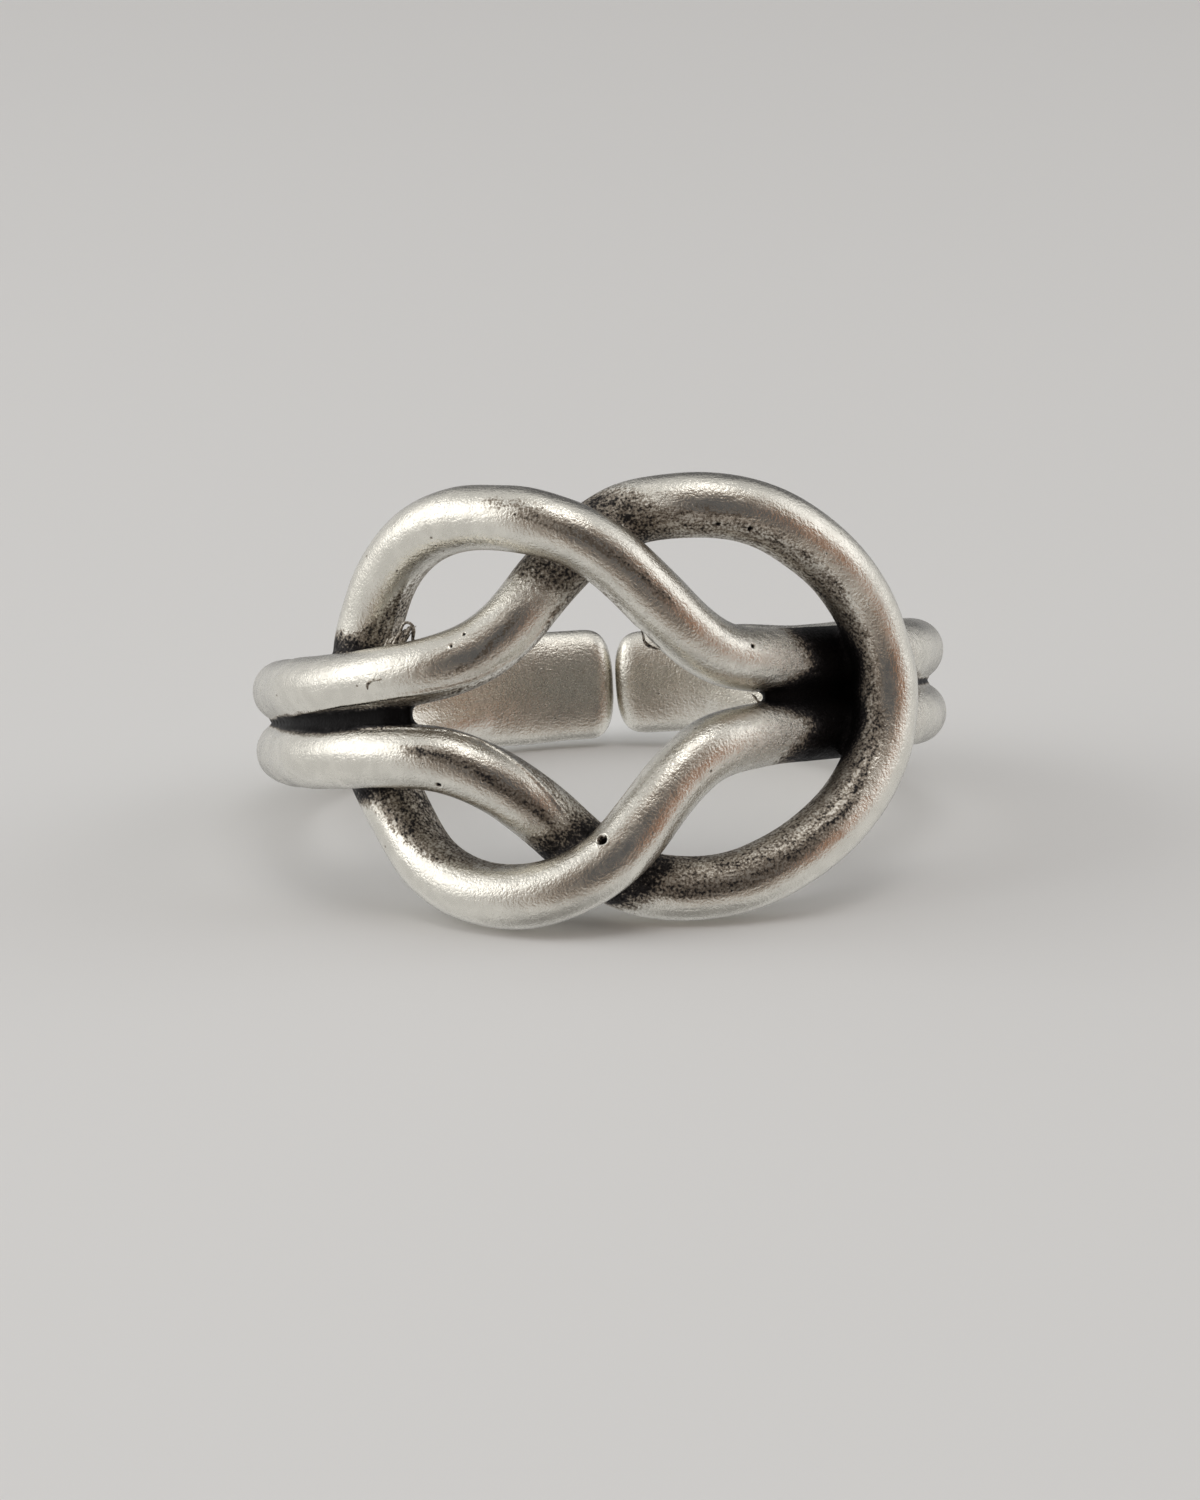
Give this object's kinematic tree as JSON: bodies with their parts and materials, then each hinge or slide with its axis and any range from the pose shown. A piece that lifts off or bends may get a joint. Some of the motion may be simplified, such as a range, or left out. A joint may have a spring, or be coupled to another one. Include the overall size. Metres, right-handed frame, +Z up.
{
  "type": "knot ring",
  "caption": "Adjustable finger ring of two interlocked wire loops in a reef knot, cast in one piece in antique silver, its shank open at the back.",
  "frame": {"origin": "middle of the box's base, on the surface that the ring lies on", "axes": "+Z up from the surface, the knot at -Y and the opening of the shank at +Y, +X to the right of the knot seen from in front; the finger's axis is +Z leant about 13.5 degrees towards +Y, as the ring lies by itself on the knot's lower edge and a tab's"},
  "size_m": [0.0214, 0.0234, 0.0128],
  "materials": {
    "antique_silver": "silver plate over a brass casting, satin, with dark oxide left in the grooves and corners"
  },
  "bodies": {
    "root": {"knot_ring": "antique_silver"}
  },
  "joints": []
}
